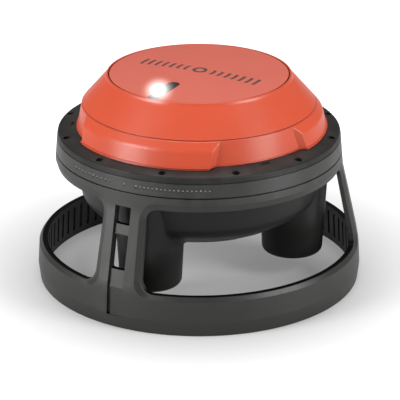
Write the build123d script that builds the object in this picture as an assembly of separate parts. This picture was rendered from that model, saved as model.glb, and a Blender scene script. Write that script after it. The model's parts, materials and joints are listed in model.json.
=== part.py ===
from build123d import *
import os
from math import atan2, cos, degrees, radians, sin, tan

# Floating position beacon. Millimetres, +Z up, origin on the floor under the middle.
# Heights are measured from a datum just above the floor; STAND lifts every node.
# The front of the beacon, with the strobe window, faces -Y.

POST_ANGLES = (-90, 30, 150)
WINDOW_ANGLES = (-30, 90, 210)
SIDE_NAMES = {-90: "front", 30: "right", 150: "left"}

# Cage: floor ring, three posts and the ring under the collar
STAND = 2.0
FLOOR_R, FLOOR_Z = 141.0, -STAND
CREASE_R, CREASE_Z = 142.4, 10.5
KNEE_R, KNEE_Z = 140.9, 33.0
SHOULDER_R, SHOULDER_Z = 125.9, 99.5
CAGE_TOP_R, CAGE_TOP_Z = 124.45, 114.3
PROFILE_BLEND = 60.0
FLOOR_RING_IN_R = 136.0
LEDGE_Z = 32.3
LEDGE_IN_R = 134.0
TOP_RING_Z = 102.3
TOP_RING_IN_R = 109.0
POST_IN_TOP_R = 119.4
WINDOW_HALF = 50.7
WINDOW_TOP_BLEND = 10.0
WINDOW_LOW_BLEND = 12.0
BEVEL_WIDTH = 6.5
BEVEL_DEPTH = 2.3
RIB_COUNT = 84
RIB_R = 1.7
RIB_Z = (4.5, 27.5)
RIB_INSET = 0.5

# Strap channel in each post
CHANNEL_W = 15.0
CHANNEL_DEPTH = 2.5
CHANNEL_Z = (8.7, 101.8)
SLOT_W = 13.8
SLOT_BLEND = 2.0
UPPER_SLOT_Z = (85.9, 101.6)
LOWER_SLOT_Z = (48.3, 77.4)

# Collar: hull flange and bezel
SEAM = 0.6
FLANGE_Z = 114.5
BEZEL_Z = 126.8
BEZEL_TOP_Z = 132.2
BEZEL_SLOPE = 0.213
DOME_GAP = 0.6
BEZEL_LOW_R = 123.3
BEZEL_TOP_R = 122.4
BEZEL_IN_R = 103.0
BEZEL_ROUND = 1.7
TICK_ROWS = ((-26.4, 10, 2.2), (0.0, 1, 1.0), (5.2, 18, 1.7))
TICK_Z = 120.6
TICK_W = 1.3
TICK_TALL, TICK_LOW = 3.2, 2.2
SCREW_COUNT = 12
SCREW_CIRCLE = 117.0
SCREW_R = 1.5
SCREW_CLEAR_R = 1.7
SCREW_HEAD_R = 2.8
SCREW_HEAD_H = 2.2
POCKET_R = 3.2
POCKET_Z = 129.5
SCREW_TIP_Z = 109.5
INSERT_R = 2.3
INSERT_Z = (108.5, 114.2)

# Dome
DOME_WALL = 3.0
DOME_FLANGE_R = 113.8
DOME_FLANGE_Z = 124.0
SEAL_Z = 121.9
CONE_TOP = (79.9, 180.6)
CONE_LOW = (101.0, 156.6)
PAD_CORNER = (107.2, 149.55)
PAD_BLEND = 6.0
PAD_CORNER_BLEND = 1.2
PAD_R = 111.0
RECESS_R = 105.8
DOME_FOOT_Z = 134.0
LIP_Z = (135.7, 136.5)
LIP_OUT = 0.9
WALL_IN = (97.57, 41.42)
WALL_OUT = (99.77, 48.66)
PLATE_R = 77.3
PLATE_Z = 182.0
PLATE_CROWN = 3.0
PLATE_SEAT_Z = 178.5
PLATE_GAP = 0.9
MARK_DEPTH = 0.5
MARK_STROKE = 2.8

# Strobe window in the top plate
LENS_W = 11.0
LENS_END_R = 38.0
LED_R = 64.0

# Hull
HULL_WALL = 3.5
HULL_Z = 58.0
HULL_RIM_Z = 55.6
HULL_RECESS_R = 49.5
LEG_CIRCLE = 82.6
LEG_FOOT_Z = 17.2
LEG_FOOT_R = 26.56
LEG_DRAFT = 3.0
LEG_TOP_Z = 102.0
LEG_ROUND = 4.5
LEG_BLEND = 4.0
LEG_BORE_R = 22.0
LEG_BORE_Z = 23.4
LEG_SEAT_Z = 50.0
LEG_SEAT_R = 24.5

# Underside: button and charging port
BUTTON_Y = -38.0
BUTTON_R = 6.0
BUTTON_SEAT_R = 9.0
BUTTON_ROOF_Z = 68.0
PORT_HALF_X = 20.0
PORT_Y = (-14.0, 17.0)
PORT_ROOF_Z = 64.2
CONTACT_X = (-9, -3, 3, 9)
CONTACT_Y = -4
HINGE_Y, HINGE_Z = 13.0, 61.0
PIN_R = 1.0
VENT_Y = 38.0

# Inside
BALLAST_R = (32.0, 54.0)
BALLAST_Z = (66.5, 72.5)
TRAY_Z = 79.0
TRAY_TOP_Z = 83.0
CELL_R = 10.6
CELL_LENGTH = 70.0
CELL_PITCH = 21.8
BOARD_Z = 116.0
BOARD_T = 1.6
BOARD_R = 70.0


def turn(angle, part):
    """Part carried round the centre line by an angle in degrees."""
    return Rot(0, 0, angle) * part


def lathe(points, radii=None, arc=360):
    """Solid of revolution of a closed outline of (radius, height) corners."""
    if radii is None:
        line = Polyline(*points, close=True)
    else:
        line = FilletPolyline(*points, radius=radii, close=True)
    return revolve(Plane.XZ * make_face(line), Axis.Z, arc)


def tube(r_out, r_in, z_low, z_high):
    """Upright round tube, or a rod when the inner radius is nothing."""
    rod = Pos(0, 0, z_low) * extrude(Circle(r_out), z_high - z_low)
    if r_in > 0:
        rod = rod - Pos(0, 0, z_low) * extrude(Circle(r_in), z_high - z_low)
    return rod


def block(x, y, z):
    """Box between two coordinates on each axis."""
    return Pos(x[0], y[0], z[0]) * Box(
        x[1] - x[0], y[1] - y[0], z[1] - z[0], align=(Align.MIN, Align.MIN, Align.MIN)
    )


def slab(x, y, z, blend):
    """Box whose upright edges are rounded."""
    return fillet(block(x, y, z).edges().filter_by(Axis.Z), blend)


def around(count, start, part):
    """Copies of a part spread evenly round the centre line."""
    return [turn(start + 360 / count * step, part) for step in range(count)]


def corners(x, y, part):
    """Four copies of a part at the corners of a rectangle."""
    return [Pos(sx * x, sy * y, 0) * part for sx in (-1, 1) for sy in (-1, 1)]


def sector(r_in, r_out, z_low, z_high, half, blends):
    """Block of a ring whose four radial edges are rounded."""
    shape = Pos((r_in + r_out) / 2, (z_low + z_high) / 2) * Rectangle(r_out - r_in, z_high - z_low)
    body = turn(-half, revolve(Plane.XZ * shape, Axis.Z, 2 * half))
    radial = body.edges().filter_by(GeomType.LINE).filter_by(Axis.Z, reverse=True)
    body = fillet(radial.group_by(Axis.Z)[0], blends[0])
    radial = body.edges().filter_by(GeomType.LINE).filter_by(Axis.Z, reverse=True)
    return fillet(radial.group_by(Axis.Z)[-1], blends[1])


def cage_outer_r(z):
    """Outer radius of the sloping part of the cage at a height."""
    return KNEE_R + (z - KNEE_Z) * (SHOULDER_R - KNEE_R) / (SHOULDER_Z - KNEE_Z)


def window_bevel():
    """Wedge that bevels the outer edge of one window."""
    z_low, z_high = LEDGE_Z - BEVEL_WIDTH, TOP_RING_Z + BEVEL_WIDTH - 1
    shell = lathe([
        (cage_outer_r(z_low - 4) - BEVEL_DEPTH, z_low - 4), (160, z_low - 4),
        (160, z_high + 4), (cage_outer_r(z_high + 4) - BEVEL_DEPTH, z_high + 4),
    ])
    wedge = shell & sector(100, 158, z_low, z_high, WINDOW_HALF + 3, (17, 16))
    face = wedge.faces().filter_by(GeomType.CONE)[0]
    return chamfer(face.edges(), BEVEL_WIDTH, BEVEL_DEPTH + 0.8, reference=face)


def strap_channel():
    """Recess and two slots of one post, set on the +X side."""
    floor = [
        (KNEE_R + 1.2 - CHANNEL_DEPTH, CHANNEL_Z[0]), (KNEE_R - CHANNEL_DEPTH, KNEE_Z),
        (cage_outer_r(CHANNEL_Z[1]) - CHANNEL_DEPTH, CHANNEL_Z[1]),
        (150, CHANNEL_Z[1]), (150, CHANNEL_Z[0]),
    ]
    recess = extrude(Plane.XZ * make_face(Polyline(*floor, close=True)), CHANNEL_W / 2, both=True)
    cuts = recess
    for z_low, z_high in (UPPER_SLOT_Z, LOWER_SLOT_Z):
        hole = block((110, 150), (-SLOT_W / 2, SLOT_W / 2), (z_low, z_high))
        cuts = cuts + fillet(hole.edges().filter_by(Axis.X), SLOT_BLEND)
    return cuts


def make_cage():
    body = lathe(
        [
            (FLOOR_RING_IN_R, FLOOR_Z), (FLOOR_R, FLOOR_Z), (CREASE_R, CREASE_Z), (KNEE_R, KNEE_Z),
            (SHOULDER_R, SHOULDER_Z), (CAGE_TOP_R, CAGE_TOP_Z - SEAM),
            (CAGE_TOP_R - SEAM, CAGE_TOP_Z), (TOP_RING_IN_R, CAGE_TOP_Z),
            (TOP_RING_IN_R, TOP_RING_Z), (POST_IN_TOP_R, TOP_RING_Z), (LEDGE_IN_R, LEDGE_Z),
        ],
        [0.5, 0.8, 0.8, PROFILE_BLEND, PROFILE_BLEND, 0, 0, 0.5, 0.5, 3, 0],
    )
    window = sector(100, 158, LEDGE_Z, TOP_RING_Z, WINDOW_HALF, (WINDOW_LOW_BLEND, WINDOW_TOP_BLEND))
    bevel = window_bevel()
    for angle in WINDOW_ANGLES:
        body = body - turn(angle, window) - turn(angle, bevel)
    channel = strap_channel()
    for angle in POST_ANGLES:
        body = body - turn(angle, channel)
    lean = degrees(atan2(FLOOR_RING_IN_R - LEDGE_IN_R, LEDGE_Z))
    rib = Pos(FLOOR_RING_IN_R + RIB_INSET, 0, 0) * Rot(0, -lean, 0) * tube(RIB_R, 0, *RIB_Z)
    body = body - around(RIB_COUNT, 2.5, rib)
    seat = Pos(SCREW_CIRCLE, 0, 0) * tube(INSERT_R + 0.02, 0, INSERT_Z[0] - 2, CAGE_TOP_Z + 1)
    return body - around(SCREW_COUNT, 15, seat)


def dome_form(grow, z_foot):
    """Solid bounded by the dome walls, moved outward by an amount."""
    slope_r, slope_z = 0.75 * grow, 0.66 * grow
    cone_top = (CONE_TOP[0] + slope_r, CONE_TOP[1] + slope_z)
    cone_low = (CONE_LOW[0] + slope_r, CONE_LOW[1] + slope_z)
    core = lathe([
        (0, z_foot), (RECESS_R + 0.4 + grow, z_foot), (RECESS_R + grow, DOME_FOOT_Z),
        (cone_low[0] + 0.5, cone_low[1] - 0.6), cone_low, cone_top, (0, cone_top[1]),
    ])
    corner = (PAD_CORNER[0] + 0.85 * grow, PAD_CORNER[1] + 0.55 * grow)
    pads = lathe(
        [
            (94, z_foot), (PAD_R + 0.3 + grow, z_foot), (PAD_R + grow, DOME_FOOT_Z),
            corner, cone_low, (94, cone_low[1]),
        ],
        [0, 0, 0, PAD_BLEND, 0, 0],
    )
    run = (WALL_OUT[0] - WALL_IN[0], WALL_OUT[1] - WALL_IN[1])
    length = (run[0] ** 2 + run[1] ** 2) ** 0.5
    along = (run[0] / length, run[1] / length)
    start = (WALL_IN[0] + along[1] * grow, WALL_IN[1] - along[0] * grow)
    near = (start[0] - 6 * along[0], start[1] - 6 * along[1])
    far = (start[0] + 24 * along[0], start[1] + 24 * along[1])
    outline = Polyline(near, far, (130, far[1]), (130, -far[1]), (far[0], -far[1]),
                       (near[0], -near[1]), close=True)
    notch = Pos(0, 0, z_foot - 1) * extrude(make_face(outline), CONE_LOW[1] + 6 - z_foot)
    for angle in WINDOW_ANGLES:
        pads = pads - turn(angle, notch)
    return core + pads


def pad_corners(body):
    """Upright outer corners of the dome pads."""
    found = []
    for wall in body.faces().filter_by(GeomType.PLANE):
        for edge in wall.edges():
            ends = (edge @ 0, edge @ 1)
            inner = min(abs(complex(end.X, end.Y)) for end in ends)
            if inner > PAD_R - 3.6 and abs(ends[0].Z - ends[1].Z) > 1:
                found.append(edge)
    return found


def make_dome_cover():
    body = dome_form(0, DOME_FLANGE_Z)
    body = fillet(pad_corners(body), PAD_CORNER_BLEND)
    rim = lathe(
        [
            (PLATE_R + 4, CONE_TOP[1] - 6), (CONE_TOP[0] + 1.2, CONE_TOP[1] - 1.6),
            (CONE_TOP[0] - 0.2, PLATE_Z), (PLATE_R - 2, PLATE_Z), (PLATE_R - 2, 170),
        ],
        [0, 1.5, 1.2, 0, 0],
    )
    seat_r = PLATE_R + PLATE_GAP
    seat = lathe([
        (0, PLATE_SEAT_Z), (seat_r, PLATE_SEAT_Z), (seat_r, PLATE_Z - 0.5), (seat_r + 0.5, PLATE_Z),
        (seat_r + 0.5, PLATE_Z + 5), (0, PLATE_Z + 5),
    ])
    body = body + rim - seat
    body = body + tube(DOME_FLANGE_R, 100, DOME_FLANGE_Z, BEZEL_Z - 0.02)
    ceiling = tube(120, 0, 100, PLATE_SEAT_Z - DOME_WALL)
    body = body - (dome_form(-DOME_WALL, DOME_FLANGE_Z - 1) & ceiling)
    body = body + (dome_form(LIP_OUT, DOME_FLANGE_Z) & tube(130, BEZEL_IN_R, *LIP_Z))
    body = body - lathe([
        (CONE_LOW[0] - 0.85, CONE_LOW[1] - 0.3), (CONE_LOW[0] + 0.6, CONE_LOW[1] + 0.7),
        (CONE_LOW[0] + 1.2, CONE_LOW[1] - 1.1),
    ])
    light = Pos(0, -LED_R, PLATE_SEAT_Z - 5) * extrude(SlotCenterToCenter(12, 8, rotation=90), 8)
    for boss in corners(6.5, 14, tube(3, 0, 173.5, PLATE_SEAT_Z - 2)):
        body = body + Pos(0, -LED_R, 0) * boss
    for hole in corners(6.5, 14, tube(1.02, 0, 173, PLATE_SEAT_Z - 1)):
        body = body - Pos(0, -LED_R, 0) * hole
    return body - light


def crown(drop):
    """Top plate blank with a slightly domed face, lowered by an amount."""
    radius = (PLATE_R ** 2 + PLATE_CROWN ** 2) / (2 * PLATE_CROWN)
    ball = Pos(0, 0, PLATE_Z + PLATE_CROWN - radius - drop) * Rot(0, 90, 0) * Sphere(radius)
    rim_z = PLATE_Z - 0.5 - drop
    blank = lathe([(0, PLATE_SEAT_Z), (PLATE_R, PLATE_SEAT_Z), (PLATE_R, rim_z), (PLATE_R - 9, rim_z + 9),
                   (0, rim_z + 9)])
    return blank & ball


def lens_prism(inset):
    """Upright prism of the strobe window, shrunk by an amount."""
    half = LENS_W / 2 - inset
    middle = LENS_END_R + LENS_W / 2
    bar = block((-half, half), (-PLATE_R - 2, -middle), (PLATE_SEAT_Z - 1, 190))
    end = Pos(0, -middle, 0) * tube(half, 0, PLATE_SEAT_Z - 1, 190)
    return bar + end


def mark_prism():
    """Row of arcs that spread both ways from a small ring, as an upright prism."""
    shape = Circle(6.6) - Circle(3.6)
    for step in range(7):
        radius = 13.5 + 7 * step
        wave = Circle(radius + MARK_STROKE / 2) - Circle(radius - MARK_STROKE / 2)
        shape = shape + (wave & Rectangle(2 * radius + 8, 10.5 + 0.6 * step))
    return Pos(2, -2, PLATE_SEAT_Z) * extrude(shape, 12)


def make_dome_top_plate():
    body = crown(0) - lens_prism(0)
    return body - (mark_prism() - crown(MARK_DEPTH))


def make_top_mark():
    return (mark_prism() & crown(0.12)) - crown(MARK_DEPTH)


def make_strobe_lens():
    return crown(0.15) & lens_prism(0.15) & tube(PLATE_R - 0.1, 0, 170, 190)


def make_strobe_led():
    return Pos(0, -LED_R, 174.6) * Box(5, 5, 2.0)


def make_strobe_board():
    board = Pos(0, -LED_R, 172.7) * Box(19, 34, BOARD_T)
    for hole in corners(6.5, 14, tube(1.2, 0, 170, 175)):
        board = board - Pos(0, -LED_R, 0) * hole
    return board


def make_strobe_board_screws():
    screw = tube(1.9, 0, 170.6, 171.88) + tube(1.0, 0, 171.88, 176.5)
    return [Pos(0, -LED_R, 0) * s for s in corners(6.5, 14, screw)]


def bezel_top_z(radius):
    """Height of the sloping top face of the bezel at a radius."""
    return BEZEL_TOP_Z + (BEZEL_TOP_R - radius) * BEZEL_SLOPE


def make_bezel():
    body = lathe(
        [
            (BEZEL_IN_R, BEZEL_Z), (BEZEL_LOW_R - SEAM, BEZEL_Z), (BEZEL_LOW_R, BEZEL_Z + SEAM),
            (BEZEL_TOP_R, BEZEL_TOP_Z), (BEZEL_IN_R, bezel_top_z(BEZEL_IN_R)),
        ],
        [0, 0, 0, BEZEL_ROUND, 0],
    )
    body = body - dome_form(DOME_GAP, BEZEL_Z - 3)
    notch_z = bezel_top_z(111.2) - 0.6
    notch = block((108.6, 111.2), (-3.5, 3.5), (notch_z, notch_z + 3))
    for angle in WINDOW_ANGLES:
        body = body - turn(angle, notch)
    pocket = tube(POCKET_R, 0, POCKET_Z, BEZEL_TOP_Z + 5) + tube(SCREW_CLEAR_R, 0, 120, POCKET_Z)
    return body - around(SCREW_COUNT, 15, Pos(SCREW_CIRCLE, 0, 0) * pocket)


def make_bezel_screws():
    head = tube(SCREW_HEAD_R, 0, POCKET_Z, POCKET_Z + SCREW_HEAD_H)
    head = fillet(head.edges().group_by(Axis.Z)[-1], 0.8)
    key = Pos(0, 0, POCKET_Z + SCREW_HEAD_H - 1.2) * extrude(RegularPolygon(1.2, 6), 3)
    screw = head - key + tube(SCREW_R, 0, SCREW_TIP_Z, POCKET_Z)
    return around(SCREW_COUNT, 15, Pos(SCREW_CIRCLE, 0, 0) * screw)


def make_thread_inserts():
    insert = Pos(SCREW_CIRCLE, 0, 0) * tube(INSERT_R, SCREW_R + 0.02, *INSERT_Z)
    return around(SCREW_COUNT, 15, insert)


def make_dome_seal():
    return tube(111.8, 109.2, SEAL_Z, DOME_FLANGE_Z - 0.02)


def leg(r_foot, z_foot, z_top, draft, blend):
    """Upright tapered leg with a rounded foot, set on the centre line."""
    r_top = r_foot + (z_top - z_foot) * tan(radians(draft))
    return lathe([(0, z_foot), (r_foot, z_foot), (r_top, z_top), (0, z_top)], [0, blend, 0, 0])


def leg_seams(body):
    """Edges where the three legs run into the bowl."""
    found = []
    for edge in body.edges():
        middle = edge @ 0.5
        if edge.geom_type == GeomType.LINE or not HULL_RIM_Z - 0.1 < middle.Z < LEG_TOP_Z - 0.1:
            continue
        reach = LEG_FOOT_R + (middle.Z - LEG_FOOT_Z) * tan(radians(LEG_DRAFT))
        for angle in POST_ANGLES:
            centre = complex(LEG_CIRCLE * cos(radians(angle)), LEG_CIRCLE * sin(radians(angle)))
            if abs(abs(complex(middle.X, middle.Y) - centre) - reach) < 0.05:
                found.append(edge)
    return found


def make_hull():
    bowl = lathe(
        [
            (0, HULL_RIM_Z), (77, HULL_RIM_Z), (101.5, 70.5), (107.8, 101.5), (108.4, FLANGE_Z),
            (CAGE_TOP_R - SEAM, FLANGE_Z), (CAGE_TOP_R, FLANGE_Z + SEAM),
            (BEZEL_LOW_R, BEZEL_Z - SEAM), (BEZEL_LOW_R - SEAM, BEZEL_Z - 0.02), (0, BEZEL_Z - 0.02),
        ],
        [0, 3, 16, 20, 0, 0, 0, 0, 0, 0],
    )
    foot = Pos(LEG_CIRCLE, 0, 0) * leg(LEG_FOOT_R, LEG_FOOT_Z, LEG_TOP_Z, LEG_DRAFT, LEG_ROUND)
    for angle in POST_ANGLES:
        bowl = bowl + turn(angle, foot)
    bowl = fillet(leg_seams(bowl), LEG_BLEND)
    floor_z = HULL_Z + HULL_WALL
    cavity = lathe(
        [(0, floor_z), (76, floor_z), (98.4, 73), (104.2, 102), (105, 128), (0, 128)],
        [0, 6, 13, 0, 0, 0],
    )
    bore = leg(LEG_BORE_R, LEG_BORE_Z, LEG_SEAT_Z, 0, 1.5) + tube(LEG_SEAT_R, 0, LEG_SEAT_Z, 68)
    bore = bore + tube(LEG_SEAT_R + 1.2, 0, LEG_SEAT_Z + 3, LEG_SEAT_Z + 4.2)
    body = bowl - cavity - tube(HULL_RECESS_R, 0, HULL_RIM_Z - 1, HULL_Z)
    for angle in POST_ANGLES:
        body = body - turn(angle, Pos(LEG_CIRCLE, 0, 0) * bore)
    body = body - tube(DOME_FLANGE_R + 0.3, 0, DOME_FLANGE_Z, 130)
    body = body - tube(112, 109, SEAL_Z - 0.1, DOME_FLANGE_Z + 1)
    hole = Pos(SCREW_CIRCLE, 0, 0) * tube(SCREW_CLEAR_R, 0, FLANGE_Z - 1, 130)
    body = body - around(SCREW_COUNT, 15, hole)
    groove = block((58, 104), (-8, 8), (HULL_RIM_Z - 1, HULL_RIM_Z + 1.9))
    for angle in WINDOW_ANGLES:
        body = body - turn(angle, groove)
    body = body + block((-PORT_HALF_X - 3, PORT_HALF_X + 3), (PORT_Y[0] - 3, PORT_Y[1] + 3),
                        (HULL_Z + 0.5, PORT_ROOF_Z + 3))
    body = body + Pos(0, BUTTON_Y, 0) * tube(12, 0, HULL_Z + 0.5, BUTTON_ROOF_Z + 3)
    body = body + corners(30.4, 30.4, tube(5, 0, HULL_Z + 0.5, BALLAST_Z[0]))
    body = body - slab((-PORT_HALF_X, PORT_HALF_X), PORT_Y, (HULL_Z - 1, PORT_ROOF_Z), 2)
    pin_hole = Pos(0, HINGE_Y, HINGE_Z) * (Rot(0, 90, 0) * tube(PIN_R + 0.02, 0, -22, 22))
    body = body - pin_hole - block((-13.1, 13.1), (-8.1, 0.1), (PORT_ROOF_Z - 1, PORT_ROOF_Z + 4))
    body = body - Pos(0, BUTTON_Y, 0) * tube(BUTTON_SEAT_R, 0, HULL_Z - 1, BUTTON_ROOF_Z)
    body = body - corners(30.4, 30.4, tube(1.52, 0, 62.5, 70))
    body = body - Pos(0, VENT_Y, 0) * tube(3.1, 0, 50, 64)
    return body - make_band_marks()


def layer(z_low, z_high):
    """Slab that picks out one of the joined mouldings of the hull."""
    return block((-150, 150), (-150, 150), (z_low, z_high))


def make_band_marks():
    """Pale ticks let into the collar on both sides of the front."""
    band_slope = (CAGE_TOP_R - BEZEL_LOW_R) / (BEZEL_Z - FLANGE_Z)
    skin_r = CAGE_TOP_R - band_slope * (TICK_Z - FLANGE_Z)
    marks = []
    for start, count, pitch in TICK_ROWS:
        for step in range(count):
            height = TICK_TALL if step % 5 == 0 else TICK_LOW
            tick = Pos(skin_r, 0, TICK_Z) * Box(1.0, TICK_W, height)
            marks.append(turn(POST_ANGLES[0] + start + step * pitch, tick))
    skin = lathe([(CAGE_TOP_R - 0.35, FLANGE_Z), (CAGE_TOP_R, FLANGE_Z),
                  (BEZEL_LOW_R, BEZEL_Z), (BEZEL_LOW_R - 0.35, BEZEL_Z)])
    return [solid for mark in marks for solid in (mark & skin).solids()]


def make_holder():
    """Bobbin that carries the ceramic ring in a leg, on the centre line."""
    body = lathe([(0, 23.5), (19.8, 23.5), (19.8, 27), (10.8, 27), (10.8, 49.9), (0, 49.9)])
    return body - tube(7, 0, 28, 55)


def make_ceramic():
    return tube(17, 11, 27.05, 47)


def make_cap():
    return tube(24.2, 0, LEG_SEAT_Z, LEG_SEAT_Z + 3) - Pos(-4.6, 0, 0) * tube(1.7, 0, 49, 54)


def make_retaining_rings():
    ring = tube(25.6, 23.4, LEG_SEAT_Z + 3.05, LEG_SEAT_Z + 4.15)
    ring = ring - block((0, 40), (-4, 4), (50, 60))
    return [turn(angle, Pos(LEG_CIRCLE, 0, 0) * ring) for angle in POST_ANGLES]


def cable(radius, points, bend):
    """Round lead of straight runs joined by tangent bends."""
    line = FilletPolyline(*points, radius=bend)
    start = Plane(origin=line @ 0, z_dir=line % 0)
    return sweep(start * Circle(radius), path=line)


def make_leg_lead():
    r = LEG_CIRCLE - 4.6
    return cable(1.5, [(r, 0, 49.95), (r, 0, 120.1), (70.2, 0, 120.1)], 4.5)


def make_lead_sockets():
    socket = block((64.5, 70), (-5, 5), (BOARD_Z + BOARD_T, BOARD_Z + BOARD_T + 5))
    return [turn(angle, socket) for angle in POST_ANGLES]


def make_ballast():
    body = turn(-55, lathe([(BALLAST_R[0], BALLAST_Z[0]), (BALLAST_R[1], BALLAST_Z[0]),
                            (BALLAST_R[1], BALLAST_Z[1]), (BALLAST_R[0], BALLAST_Z[1])], arc=290))
    return body - corners(30.4, 30.4, tube(1.7, 0, 60, 80))


def make_tray_standoffs():
    post = Pos(0, 0, BALLAST_Z[1]) * extrude(RegularPolygon(3.5, 6), TRAY_Z - BALLAST_Z[1])
    post = post + tube(1.5, 0, 63, BALLAST_Z[1]) - tube(1.52, 0, 74, 80)
    return corners(30.4, 30.4, post)


def make_tray_screws():
    screw = tube(2.8, 0, 81.2, 82.8) + tube(1.5, 0, 74.5, 81.2)
    return corners(30.4, 30.4, screw)


def cell_centres():
    return [(step - 1.5) * CELL_PITCH for step in range(4)]


def make_cell(x):
    can = Rot(90, 0, 0) * tube(CELL_R, 0, -CELL_LENGTH / 2, CELL_LENGTH / 2)
    can = fillet(can.edges(), 1.0)
    return Pos(x, 0, TRAY_TOP_Z + 0.6 + CELL_R) * can


def make_battery_tray():
    body = slab((-59, 59), (-39, 39), (TRAY_Z, TRAY_TOP_Z), 5)
    for y in (-38, 36.2):
        body = body + block((-46, 46), (y, y + 1.8), (TRAY_TOP_Z, 98))
    for x in (-46, 44.2):
        body = body + block((x, x + 1.8), (-38, 38), (TRAY_TOP_Z, 96))
    ribs = block((-45, 45), (-22, -19), (TRAY_TOP_Z, 90)) + block((-45, 45), (19, 22), (TRAY_TOP_Z, 90))
    for x in cell_centres():
        room = Rot(90, 0, 0) * tube(CELL_R + 0.15, 0, -36, 36)
        ribs = ribs - Pos(x, 0, TRAY_TOP_Z + 0.6 + CELL_R) * room
    body = body + ribs
    body = body - corners(30.4, 30.4, tube(1.7, 0, 78, 84) + tube(3.0, 0, 81.2, 84))
    body = body - corners(52, 32, tube(1.52, 0, 78, 84))
    return body - [Pos(x, 0, 0) * tube(1.27, 0, 78, 84) for x in (-54, 54)]


def make_battery_clamp():
    body = block((-50, 50), (-12, 12), (105.0, 107.2))
    for x in (-50, 48):
        body = body + block((x, x + 2), (-12, 12), (TRAY_TOP_Z, 105.5))
    for x in (-58, 48):
        body = body + block((x, x + 10), (-12, 12), (TRAY_TOP_Z, TRAY_TOP_Z + 2))
    return body - [Pos(x, 0, 0) * tube(1.5, 0, 80, 90) for x in (-54, 54)]


def make_clamp_screws():
    screw = tube(2.4, 0, 85, 86.8) + tube(1.25, 0, 79.5, 85)
    return [Pos(x, 0, 0) * screw for x in (-54, 54)]


def make_board_standoffs():
    post = Pos(0, 0, TRAY_TOP_Z) * extrude(RegularPolygon(3.2, 6), BOARD_Z - TRAY_TOP_Z)
    post = post + tube(1.5, 0, 79.5, TRAY_TOP_Z) - tube(1.27, 0, 108, 117)
    return corners(52, 32, post)


def make_main_board():
    body = tube(BOARD_R, 0, BOARD_Z, BOARD_Z + BOARD_T)
    body = body - corners(52, 32, tube(1.5, 0, 110, 120))
    return body - corners(12, 12, tube(1.27, 0, 110, 120))


def make_board_screws():
    screw = tube(2.4, 0, BOARD_Z + BOARD_T, BOARD_Z + BOARD_T + 1.8) + tube(1.25, 0, 109, BOARD_Z + BOARD_T)
    return corners(52, 32, screw)


def make_shield_can():
    return slab((-48, -22), (-14, 14), (BOARD_Z + BOARD_T, BOARD_Z + BOARD_T + 3), 1)


def make_radio_antenna():
    sleeve = tube(4.2, 0, BOARD_Z + BOARD_T, 166)
    sleeve = fillet(sleeve.edges().group_by(Axis.Z)[-1], 3)
    return Pos(0, 50, 0) * sleeve


def make_antenna_mast():
    body = tube(12, 9.5, BOARD_Z + BOARD_T, 160)
    body = body + tube(21, 9.5, BOARD_Z + BOARD_T, BOARD_Z + BOARD_T + 3) + tube(24, 9.5, 157, 160)
    body = body - corners(12, 12, tube(1.5, 0, 110, 125))
    return body


def make_mast_screws():
    top = BOARD_Z + BOARD_T + 3
    screw = tube(2.0, 0, top, top + 1.6) + tube(1.25, 0, 113, top)
    return corners(12, 12, screw)


def make_antenna_board():
    return tube(24, 0, 160, 160 + BOARD_T)


def make_patch_antenna():
    top = 160 + BOARD_T
    return slab((-12.5, 12.5), (-12.5, 12.5), (top, top + 4), 1)


def make_strobe_lead():
    return cable(1.1, [(0, -50, 171.9), (0, -50, 158), (0, -58, 146), (0, -58, BOARD_Z + BOARD_T)], 5)


def make_charge_block():
    body = block((-13, 13), (-8, 0), (PORT_ROOF_Z - 1, PORT_ROOF_Z + 6))
    return body - [Pos(x, CONTACT_Y, 0) * tube(1.22, 0, 60, 80) for x in CONTACT_X]


def make_charge_contacts():
    pin = tube(1.2, 0, PORT_ROOF_Z - 2.4, PORT_ROOF_Z + 7.2)
    return [Pos(x, CONTACT_Y, 0) * pin for x in CONTACT_X]


def make_charge_lead():
    top, run_z = PORT_ROOF_Z + 6, 75.7
    flat = [(0, top), (0, run_z), (64.5, run_z), (64.5, BOARD_Z)]
    return cable(1.1, [(x, CONTACT_Y, z) for x, z in flat], [4.5, 6])


def make_port_cover():
    """Door of the charging port, hinged along its +Y edge."""
    door = slab((-19.6, 19.6), (PORT_Y[0] + 0.4, HINGE_Y), (HULL_Z + 0.2, HULL_Z + 3.2), 1.8)
    barrel = Pos(0, HINGE_Y, HINGE_Z) * (Rot(0, 90, 0) * tube(2.5, 0, -19.6, 19.6))
    bore = Pos(0, HINGE_Y, HINGE_Z) * (Rot(0, 90, 0) * tube(PIN_R + 0.05, 0, -21, 21))
    grip = block((-6, 6), (PORT_Y[0] - 1, PORT_Y[0] + 2.2), (HULL_Z - 1, HULL_Z + 1.6))
    return door + barrel - bore - grip


def make_port_seal():
    z = HULL_Z + 3.2
    outer = slab((-17, 17), (-11.5, 8.5), (z, z + 2.6), 2)
    return outer - slab((-14.4, 14.4), (-8.9, 5.9), (z - 1, z + 4), 1)


def make_hinge_pin():
    return Pos(0, HINGE_Y, HINGE_Z) * (Rot(0, 90, 0) * tube(PIN_R, 0, -21.8, 21.8))


def make_power_button():
    cap = tube(BUTTON_R, 0, HULL_Z + 0.4, 60.8) + tube(8.3, 0, 60.8, 62.6)
    cap = cap - tube(2.05, 0, 61.1, 64)
    dish = Pos(0, 0, HULL_Z + 0.4) * (tube(3.2, 2.5, -1, 0.3))
    return Pos(0, BUTTON_Y, 0) * (cap - dish)


def make_button_magnet():
    return Pos(0, BUTTON_Y, 0) * tube(2.0, 0, 61.15, 62.6)


def make_button_retainer():
    ring = tube(BUTTON_SEAT_R - 0.05, BUTTON_R + 0.3, HULL_Z, 60.5)
    for angle in (0, 180):
        ring = ring - turn(angle, Pos(7.6, 0, 0) * tube(0.7, 0, HULL_Z - 1, HULL_Z + 1.2))
    return Pos(0, BUTTON_Y, 0) * ring


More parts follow.
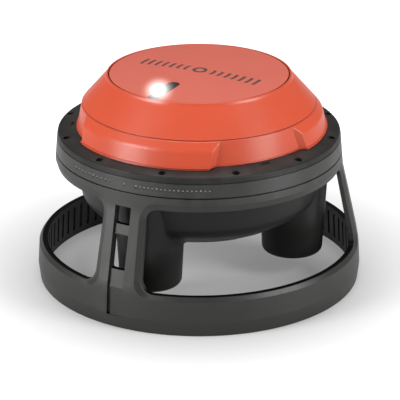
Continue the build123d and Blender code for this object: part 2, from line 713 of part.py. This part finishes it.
def make_button_spring():
    turns = 4
    rise = BUTTON_ROOF_Z - 62.6 - 1.0
    coil = Helix(pitch=rise / turns, height=rise, radius=5.4)
    wire = sweep(Plane(origin=coil @ 0, z_dir=coil % 0) * Circle(0.4), path=coil, is_frenet=True)
    return Pos(0, BUTTON_Y, 62.6 + 0.5) * wire


def make_button_sensor():
    seat = BUTTON_ROOF_Z + 3
    board = Pos(0, BUTTON_Y, seat + BOARD_T / 2) * Box(14, 12, BOARD_T)
    return board + Pos(0, BUTTON_Y, seat + BOARD_T + 0.5) * Box(4, 3, 1.0)


def make_vent_plug():
    head = fillet(tube(6, 0, HULL_Z - 1.4, HULL_Z).edges().group_by(Axis.Z)[0], 0.6)
    coin_slot = block((-4, 4), (-0.5, 0.5), (50, HULL_Z - 0.8))
    return Pos(0, VENT_Y, 0) * (head + tube(3, 0, HULL_Z, 62.4) - coin_slot)


def save(name, shape):
    """Write one node; a list is kept as a group of separate solids."""
    if isinstance(shape, (list, ShapeList)):
        shape = Compound(children=list(shape))
    export_step(Pos(0, 0, STAND) * shape, f"parts/{name}.step")


def main():
    os.makedirs("parts", exist_ok=True)
    save("cage", make_cage())
    shell = make_hull()
    save("hull", shell & layer(HULL_RIM_Z, FLANGE_Z))
    save("hull_collar", shell & layer(FLANGE_Z, BEZEL_Z))
    save("leg_sleeves", (shell & layer(0, HULL_RIM_Z)).solids())
    save("band_marks", make_band_marks())
    save("dome_cover", make_dome_cover())
    save("dome_top_plate", make_dome_top_plate())
    save("top_mark", make_top_mark().solids())
    save("strobe_lens", make_strobe_lens())
    save("strobe_led", make_strobe_led())
    save("strobe_board", make_strobe_board())
    save("strobe_board_screws", make_strobe_board_screws())
    save("strobe_lead", make_strobe_lead())
    save("bezel_ring", make_bezel())
    save("bezel_screws", make_bezel_screws())
    save("thread_inserts", make_thread_inserts())
    save("dome_seal", make_dome_seal())
    for angle in POST_ANGLES:
        side = SIDE_NAMES[angle]
        save(f"ring_holder_{side}", turn(angle, Pos(LEG_CIRCLE, 0, 0) * make_holder()))
        save(f"ceramic_ring_{side}", turn(angle, Pos(LEG_CIRCLE, 0, 0) * make_ceramic()))
        save(f"leg_cap_{side}", turn(angle, Pos(LEG_CIRCLE, 0, 0) * make_cap()))
    save("leg_leads", [turn(angle, make_leg_lead()) for angle in POST_ANGLES])
    save("retaining_rings", make_retaining_rings())
    save("lead_sockets", make_lead_sockets())
    save("ballast_ring", make_ballast())
    save("tray_standoffs", make_tray_standoffs())
    save("tray_screws", make_tray_screws())
    save("battery_tray", make_battery_tray())
    for number, x in enumerate(cell_centres(), start=1):
        save(f"battery_cell_{number}", make_cell(x))
    save("battery_clamp", make_battery_clamp())
    save("clamp_screws", make_clamp_screws())
    save("board_standoffs", make_board_standoffs())
    save("main_board", make_main_board())
    save("board_screws", make_board_screws())
    save("shield_can", make_shield_can())
    save("radio_antenna", make_radio_antenna())
    save("antenna_mast", make_antenna_mast())
    save("mast_screws", make_mast_screws())
    save("antenna_board", make_antenna_board())
    save("patch_antenna", make_patch_antenna())
    save("charge_block", make_charge_block())
    save("charge_contacts", make_charge_contacts())
    save("charge_lead", make_charge_lead())
    save("port_cover", make_port_cover())
    save("port_seal", make_port_seal())
    save("hinge_pin", make_hinge_pin())
    save("power_button", make_power_button())
    save("button_magnet", make_button_magnet())
    save("button_retainer", make_button_retainer())
    save("button_spring", make_button_spring())
    save("button_sensor", make_button_sensor())
    save("vent_plug", make_vent_plug())


main()
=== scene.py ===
import json
import math

import bpy
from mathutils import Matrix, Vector

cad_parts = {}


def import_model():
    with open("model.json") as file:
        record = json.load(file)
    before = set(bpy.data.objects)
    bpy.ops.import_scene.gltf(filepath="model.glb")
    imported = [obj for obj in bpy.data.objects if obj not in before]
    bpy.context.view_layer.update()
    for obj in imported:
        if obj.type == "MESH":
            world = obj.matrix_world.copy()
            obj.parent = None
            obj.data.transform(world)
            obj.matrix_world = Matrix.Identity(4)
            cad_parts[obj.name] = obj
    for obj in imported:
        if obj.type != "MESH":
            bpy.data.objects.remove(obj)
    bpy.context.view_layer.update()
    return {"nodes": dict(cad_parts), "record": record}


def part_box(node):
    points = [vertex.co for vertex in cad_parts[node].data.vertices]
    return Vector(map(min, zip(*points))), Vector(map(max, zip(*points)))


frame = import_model()
NODES = frame["nodes"]
MM = 0.001

CAMERA_AZIMUTH = 30.0
CAMERA_ELEVATION = 22.17
CAMERA_DISTANCE = 1.9028
CAMERA_TARGET = (0, 0, 0.065)
CAMERA_SENSOR = 36.0
CAMERA_LENS = 194.33
CAMERA_SHIFT = (0.0025, 0.0006)

WORLD_STRENGTH = 0.14
LIGHTS = (  # name, size, bearing from the camera, elevation, distance, target height, power
    ("key_left", (0.6, 1.1), -62, 22, 1.5, 0.08, 21),
    ("key_right", (0.6, 1.1), 62, 22, 1.5, 0.08, 20),
    ("top", (1.2, 1.2), 180, 75, 1.8, 0.1, 17),
)

FLOOR_SIZE = 30.0
FLOOR_DROP = 0.3 * MM
FLOOR_GLOW = (0.13, 0.34, 0.20, 1.0)  # near radius, far radius, strength near, strength far
FLOOR_IN_REFLECTIONS = 0.4

LAMP_OFFSET = (-4.5 * MM, 3.4 * MM, -1.0 * MM)
LAMP_STRETCH = (1.0, 2.3, 0.5)
LAMP_RADIUS = (2.0 * MM, 17.5 * MM)
LAMP_STRENGTH = 2.6

# Inner and outer radius of the painted ledge shade on the cage.
LEDGE_RADIUS = (137.8 * MM, 138.5 * MM)

# ---------------------------------------------------------------- node helpers


class Graph:
    """Small helper that builds one shader node tree."""

    def __init__(self, name):
        self.mat = bpy.data.materials.new(name)
        self.mat.use_nodes = True
        self.tree = self.mat.node_tree
        self.bsdf = self.tree.nodes["Principled BSDF"]

    def node(self, kind, values=None, links=None, **props):
        made = self.tree.nodes.new(kind)
        for key, value in props.items():
            setattr(made, key, value)
        for key, value in (values or {}).items():
            made.inputs[key].default_value = value
        for key, source in (links or {}).items():
            self.tree.links.new(source, made.inputs[key])
        return made

    def link(self, source, socket):
        self.tree.links.new(source, self.bsdf.inputs[socket])

    def coords(self):
        return self.node("ShaderNodeTexCoord").outputs["Object"]

    def noise(self, scale, detail=3.0, rough=0.5, vector=None):
        links = {"Vector": vector or self.coords()}
        return self.node(
            "ShaderNodeTexNoise", {"Scale": scale, "Detail": detail, "Roughness": rough}, links
        ).outputs["Fac"]

    def length(self, vector):
        return self.node("ShaderNodeVectorMath", {}, {0: vector}, operation="LENGTH").outputs["Value"]

    def spread(self, fac, low, high, out_low=0.0, out_high=1.0):
        return self.node(
            "ShaderNodeMapRange",
            {"From Min": low, "From Max": high, "To Min": out_low, "To Max": out_high},
            {"Value": fac},
        ).outputs["Result"]

    def mix(self, fac, a, b):
        made = self.node("ShaderNodeMix", data_type="RGBA")
        for socket, value in ((made.inputs[0], fac), (made.inputs[6], a), (made.inputs[7], b)):
            if isinstance(value, bpy.types.NodeSocket):
                self.tree.links.new(value, socket)
            elif isinstance(value, (int, float)):
                socket.default_value = value
            else:
                socket.default_value = (*value, 1.0)
        return made.outputs[2]

    def math(self, kind, a, b=0.5):
        made = self.node("ShaderNodeMath", operation=kind)
        for socket, value in ((made.inputs[0], a), (made.inputs[1], b)):
            if isinstance(value, bpy.types.NodeSocket):
                self.tree.links.new(value, socket)
            else:
                socket.default_value = value
        return made.outputs[0]


def plastic(name, colour, rough=0.45, grain=0.05, vary=0.08, edge=0.0, specular=0.5,
            crevice_shade=0.12, soft=0.5):
    """Moulded plastic: fine spark-eroded grain, slight mottling, worn edges, and painted shade in creases.
    """
    g = Graph(name)
    dark = tuple(c * (1 - vary) for c in colour)
    light = tuple(min(1.0, c * (1 + vary)) for c in colour)
    broad = g.spread(g.noise(18.0, 4.0), 0.3, 0.7)
    tone = g.mix(broad, dark, light)
    if edge:
        worn = tuple(min(1.0, c * 1.5 + 0.03) for c in colour)
        point = g.node("ShaderNodeNewGeometry").outputs["Pointiness"]
        rim = g.spread(point, 0.505, 0.56, 0.0, edge)
        patch = g.spread(g.noise(60.0, 3.0), 0.35, 0.65)
        tone = g.mix(g.math("MULTIPLY", rim, patch), tone, worn)
    # Painted shade: ambient occlusion darkens the tone in creases and recesses, down to the colour scaled
    # by the crevice factor.
    occlusion_shade = g.node("ShaderNodeAmbientOcclusion", {"Distance": 0.0022}, samples=8).outputs["AO"]
    tone = g.mix(g.spread(occlusion_shade, 0.25, 0.8), tuple(c * crevice_shade for c in colour), tone)
    g.link(tone, "Base Color")
    fine = g.noise(1500.0, 2.0, 0.6)
    g.link(g.spread(g.noise(40.0, 5.0), 0.25, 0.75, rough - 0.05, rough + 0.05), "Roughness")
    rounded = g.node("ShaderNodeBevel", {"Radius": soft * MM}, samples=4)
    bump = g.node(
        "ShaderNodeBump", {"Strength": grain, "Distance": 0.0004},
        {"Height": fine, "Normal": rounded.outputs["Normal"]},
    )
    g.link(bump.outputs["Normal"], "Normal")
    g.bsdf.inputs["Specular IOR Level"].default_value = specular
    return g


def metal(name, colour, rough=0.3):
    """Machined metal with faint turning streaks and patchy shine."""
    g = Graph(name)
    dark = tuple(c * 0.8 for c in colour)
    g.link(g.mix(g.spread(g.noise(120.0, 4.0), 0.35, 0.65), dark, colour), "Base Color")
    g.bsdf.inputs["Metallic"].default_value = 1.0
    g.link(g.spread(g.noise(300.0, 3.0), 0.3, 0.7, rough - 0.08, rough + 0.1), "Roughness")
    streak = g.node("ShaderNodeMapping", {"Scale": (40.0, 40.0, 900.0)}, {"Vector": g.coords()})
    bump = g.node("ShaderNodeBump", {"Strength": 0.08, "Distance": 0.0002},
                  {"Height": g.noise(6.0, 3.0, vector=streak.outputs["Vector"])})
    g.link(bump.outputs["Normal"], "Normal")
    return g.mat


def rubber(name, colour=(0.02, 0.02, 0.02)):
    g = Graph(name)
    g.link(g.mix(g.noise(80.0), colour, tuple(c * 1.6 for c in colour)), "Base Color")
    g.link(g.spread(g.noise(200.0), 0.3, 0.7, 0.6, 0.75), "Roughness")
    bump = g.node("ShaderNodeBump", {"Strength": 0.1, "Distance": 0.0003}, {"Height": g.noise(900.0)})
    g.link(bump.outputs["Normal"], "Normal")
    return g.mat


def circuit(name):
    """Green laminate with faint copper runs under the mask."""
    g = Graph(name)
    place = g.node("ShaderNodeMapping", {"Scale": (1.0, 1.0, 0.05)}, {"Vector": g.coords()})
    brick = g.node(
        "ShaderNodeTexBrick",
        {"Color1": (0.012, 0.11, 0.05, 1), "Color2": (0.02, 0.16, 0.07, 1), "Mortar": (0.05, 0.26, 0.12, 1),
         "Scale": 130.0, "Mortar Size": 0.03},
        {"Vector": place.outputs["Vector"]},
    )
    g.link(brick.outputs["Color"], "Base Color")
    g.link(g.spread(g.noise(90.0), 0.3, 0.7, 0.3, 0.42), "Roughness")
    return g.mat


def ceramic(name, colour):
    g = Graph(name)
    g.link(g.mix(g.noise(250.0, 5.0), tuple(c * 0.88 for c in colour), colour), "Base Color")
    g.link(g.spread(g.noise(120.0), 0.3, 0.7, 0.5, 0.65), "Roughness")
    bump = g.node("ShaderNodeBump", {"Strength": 0.12, "Distance": 0.0003}, {"Height": g.noise(1100.0)})
    g.link(bump.outputs["Normal"], "Normal")
    return g.mat


def lamp_glow(g):
    """White spill of the strobe lamp on the surfaces round it."""
    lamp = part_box("strobe_led")
    middle = (Vector(lamp[0]) + Vector(lamp[1])) / 2
    middle.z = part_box("strobe_lens")[1][2]
    place = g.node(
        "ShaderNodeMapping",
        {"Location": middle + Vector(LAMP_OFFSET), "Rotation": (0, 0, math.radians(CAMERA_AZIMUTH)),
         "Scale": LAMP_STRETCH},
        {"Vector": g.coords()}, vector_type="TEXTURE",
    )
    away = g.length(place.outputs["Vector"])
    glow = g.spread(away, LAMP_RADIUS[1], LAMP_RADIUS[0])
    g.link(g.math("MULTIPLY", g.math("POWER", glow, 3.0), LAMP_STRENGTH), "Emission Strength")
    g.bsdf.inputs["Emission Color"].default_value = (1.0, 0.98, 0.95, 1.0)


def ledge_shade(g):
    """Painted shade: a dark, dull strip painted on the flat ledge inside the windows of the cage."""
    flat = g.node("ShaderNodeVectorMath", {1: (1.0, 1.0, 0.0)}, {0: g.coords()}, operation="MULTIPLY")
    radius = g.length(flat.outputs[0])
    normal = g.node("ShaderNodeNewGeometry").outputs["True Normal"]
    up = g.node("ShaderNodeSeparateXYZ", {}, {0: normal}).outputs["Z"]
    inside = g.spread(radius, LEDGE_RADIUS[1], LEDGE_RADIUS[0])
    ledge_shadow = g.math("MULTIPLY", inside, g.spread(up, 0.6, 0.8))
    tone = g.bsdf.inputs["Base Color"].links[0].from_socket
    # Painted shade: the ledge strip's colour is mixed to near black and its specular is lowered.
    g.link(g.mix(ledge_shadow, tone, (0.003, 0.003, 0.003)), "Base Color")
    g.link(g.spread(ledge_shadow, 0.0, 1.0, 0.5, 0.05), "Specular IOR Level")


def smoked_lens(name):
    """Dark tinted lens that lights up over the lamp below it."""
    g = Graph(name)
    g.link(g.mix(g.noise(40.0), (0.020, 0.020, 0.021), (0.032, 0.031, 0.032)), "Base Color")
    g.link(g.spread(g.noise(150.0), 0.3, 0.7, 0.22, 0.30), "Roughness")
    lamp_glow(g)
    return g.mat


def lit(name, strength):
    g = Graph(name)
    g.link(g.mix(g.noise(300.0), (0.9, 0.9, 0.85), (1.0, 1.0, 0.95)), "Base Color")
    g.bsdf.inputs["Emission Color"].default_value = (1.0, 0.98, 0.93, 1.0)
    g.bsdf.inputs["Emission Strength"].default_value = strength
    return g.mat


# ---------------------------------------------------------------- materials

cage_graph = plastic("cage_plastic", (0.022, 0.0213, 0.020), 0.42, edge=0.35)
ledge_shade(cage_graph)
CAGE = cage_graph.mat
COLLAR = plastic("collar_plastic", (0.015, 0.0145, 0.0135), 0.40, edge=0.35, soft=0.35, specular=0.6).mat
BEZEL = plastic("bezel_plastic", (0.015, 0.0145, 0.0135), 0.48, edge=0.35, soft=0.35, specular=0.25).mat
HULL = plastic("hull_plastic", (0.010, 0.010, 0.0095), 0.42, edge=0.2, soft=0.4, specular=0.35).mat
orange_graph = plastic("dome_plastic", (0.60, 0.080, 0.034), 0.34, vary=0.03, crevice_shade=0.4, soft=0.7)
lamp_glow(orange_graph)
ORANGE = orange_graph.mat
plate_graph = plastic("plate_plastic", (0.63, 0.134, 0.092), 0.40, vary=0.03, soft=0.3)
lamp_glow(plate_graph)
PLATE = plate_graph.mat
MARK = plastic("mark_plastic", (0.085, 0.050, 0.045), 0.5, soft=0.1).mat
PALE = plastic("print_plastic", (0.20, 0.19, 0.175), 0.6, soft=0.1).mat
INNER = plastic("inner_plastic", (0.05, 0.05, 0.055), 0.5).mat
STEEL = metal("steel", (0.55, 0.55, 0.56), 0.32)
DARK_STEEL = metal("dark_steel", (0.06, 0.06, 0.06), 0.42)
BRASS = metal("brass", (0.70, 0.50, 0.20), 0.3)
RUBBER = rubber("black_rubber")
BOARD = circuit("circuit_board")
CERAMIC = ceramic("pale_ceramic", (0.70, 0.66, 0.58))
WRAP = plastic("cell_wrap", (0.04, 0.16, 0.38), 0.35, vary=0.05, soft=0.2).mat
LENS = smoked_lens("smoked_lens")
LED = lit("led_white", 60.0)

SLOT_LOOK = {
    "cage_grey": CAGE, "collar_grey": COLLAR, "hull_dark": HULL, "dome_orange": ORANGE,
    "plate_orange": PLATE, "mark_dark": MARK, "mark_pale": PALE, "lens_smoke": LENS,
    "led_white": LED, "circuit_board": BOARD, "inner_plastic": INNER, "steel": STEEL,
    "brass": BRASS, "rubber_black": RUBBER, "ceramic_pale": CERAMIC, "cell_wrap": WRAP,
}
OWN_LOOK = {"bezel_screws": DARK_STEEL, "bezel_ring": BEZEL}

for part in frame["record"]["subparts"]:
    name = part["node"]
    look = OWN_LOOK.get(name, SLOT_LOOK[part["material_slot"]])
    item = NODES[name]
    if not item.material_slots:
        item.data.materials.append(look)
    for holder in item.material_slots:
        holder.link = "OBJECT"
        holder.material = look

# ---------------------------------------------------------------- stage


def floor():
    """Paper floor: bright far out, dim under the object, and clear from below."""
    bpy.ops.mesh.primitive_plane_add(size=FLOOR_SIZE, location=(0, 0, -FLOOR_DROP))
    made = bpy.context.object
    made.name = "floor"
    g = Graph("floor_paper")
    g.link(g.mix(g.noise(3.0), (0.46, 0.46, 0.46), (0.48, 0.48, 0.48)), "Base Color")
    g.link(g.spread(g.noise(20.0), 0.3, 0.7, 0.85, 0.95), "Roughness")
    g.bsdf.inputs["Specular IOR Level"].default_value = 0.1
    glow = g.spread(g.length(g.coords()), *FLOOR_GLOW)
    ray = g.node("ShaderNodeLightPath").outputs
    mirrored = g.math("MULTIPLY", ray["Is Glossy Ray"], FLOOR_IN_REFLECTIONS)
    seen = g.math("MAXIMUM", ray["Is Camera Ray"], mirrored)
    g.link(g.math("MULTIPLY", glow, seen), "Emission Strength")
    g.bsdf.inputs["Emission Color"].default_value = (1, 1, 1, 1)
    behind = g.node("ShaderNodeNewGeometry").outputs["Backfacing"]
    clear = g.node("ShaderNodeBsdfTransparent").outputs["BSDF"]
    mixed = g.node("ShaderNodeMixShader", {}, {0: behind, 1: g.bsdf.outputs["BSDF"], 2: clear})
    g.tree.links.new(mixed.outputs["Shader"], g.tree.nodes["Material Output"].inputs["Surface"])
    made.data.materials.append(g.mat)


def turn_to(item, place, target):
    """Put a light or camera at a place, facing a point."""
    item.location = place
    item.rotation_mode = "QUATERNION"
    item.rotation_quaternion = (Vector(target) - Vector(place)).to_track_quat("-Z", "Y")


def area(name, size, place, target, power):
    """Soft box that faces a point."""
    data = bpy.data.lights.new(name, "AREA")
    data.shape = "RECTANGLE"
    data.size, data.size_y = size
    data.energy = power
    item = bpy.data.objects.new(name, data)
    bpy.context.collection.objects.link(item)
    turn_to(item, place, target)


def around(azimuth, elevation, distance, target=(0, 0, 0.06)):
    """Point at a bearing from the object; bearing 0 is the -Y side."""
    a, e = math.radians(azimuth), math.radians(elevation)
    back = Vector((math.sin(a) * math.cos(e), -math.cos(a) * math.cos(e), math.sin(e)))
    return Vector(target) + back * distance


def world():
    """Even white fill light from all round."""
    made = bpy.data.worlds.new("studio")
    bpy.context.scene.world = made
    made.use_nodes = True
    made.node_tree.nodes["Background"].inputs["Color"].default_value = (1, 1, 1, 1)
    made.node_tree.nodes["Background"].inputs["Strength"].default_value = WORLD_STRENGTH


def camera():
    """Long lens, so the object is seen nearly in parallel."""
    data = bpy.data.cameras.new("camera")
    item = bpy.data.objects.new("camera", data)
    bpy.context.collection.objects.link(item)
    data.sensor_width = CAMERA_SENSOR
    data.lens = CAMERA_LENS
    data.shift_x, data.shift_y = CAMERA_SHIFT
    data.clip_end = 100.0
    place = around(CAMERA_AZIMUTH, CAMERA_ELEVATION, CAMERA_DISTANCE, CAMERA_TARGET)
    turn_to(item, place, CAMERA_TARGET)
    bpy.context.scene.camera = item


floor()
world()
camera()
for name, size, bearing, elevation, distance, height, power in LIGHTS:
    place = around(CAMERA_AZIMUTH + bearing, elevation, distance)
    area(name, size, place, (0, 0, height), power)
bpy.context.scene.view_settings.view_transform = "Standard"
